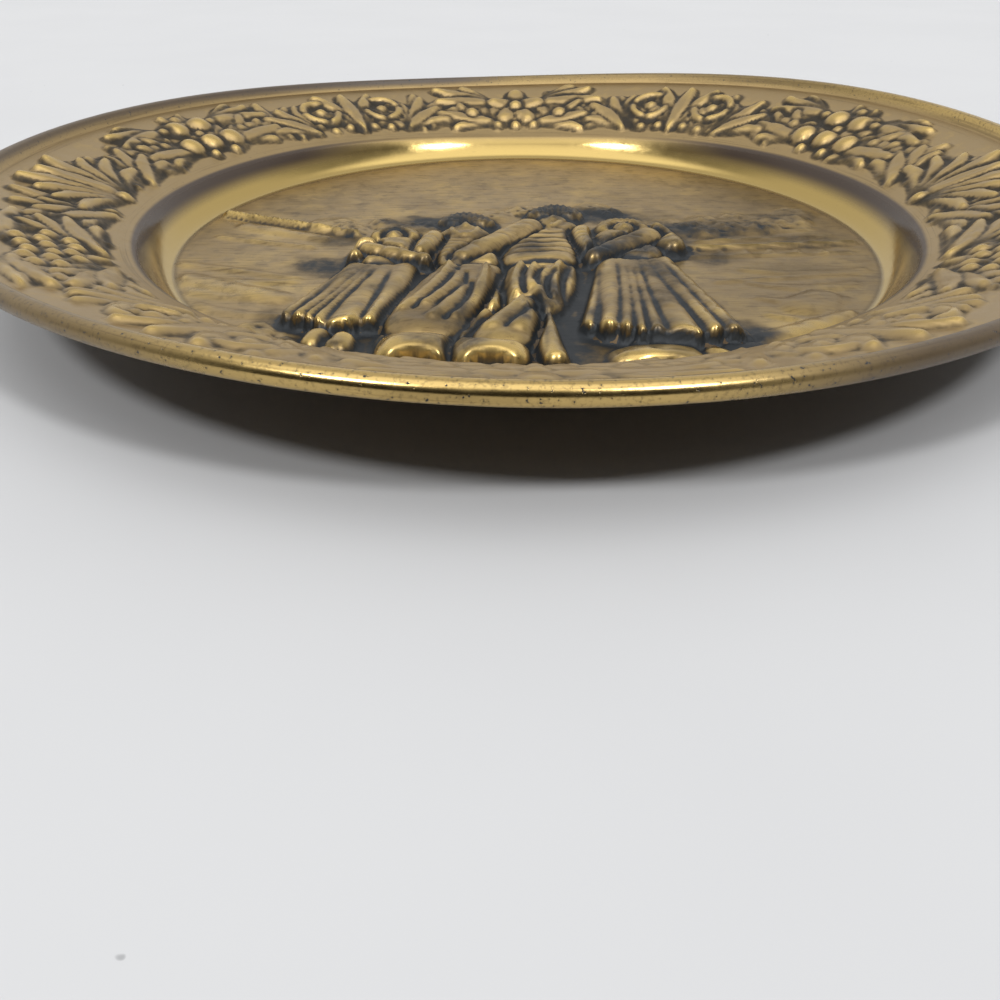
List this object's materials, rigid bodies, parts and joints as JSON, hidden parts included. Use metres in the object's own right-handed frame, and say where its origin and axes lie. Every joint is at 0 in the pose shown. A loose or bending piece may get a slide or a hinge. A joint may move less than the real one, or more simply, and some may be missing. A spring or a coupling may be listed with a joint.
{
  "type": "embossed brass wall plate",
  "caption": "Round pressed-brass wall plate with a rolled edge, a sloping flange of fruit and acanthus, and a sunk field of country people in relief.",
  "frame": {"origin": "middle of the flat back, level with the face it rests on", "axes": "+Z out of the plate's face; +Y towards the top of its picture; +X to the right of a viewer who faces it"},
  "size_m": [0.305, 0.305, 0.0298],
  "materials": {
    "brass": "antiqued: worn bright on the high forms, grey-brown on the flats and near black in the hollows"
  },
  "bodies": {
    "root": {"plate": "brass"}
  },
  "joints": []
}
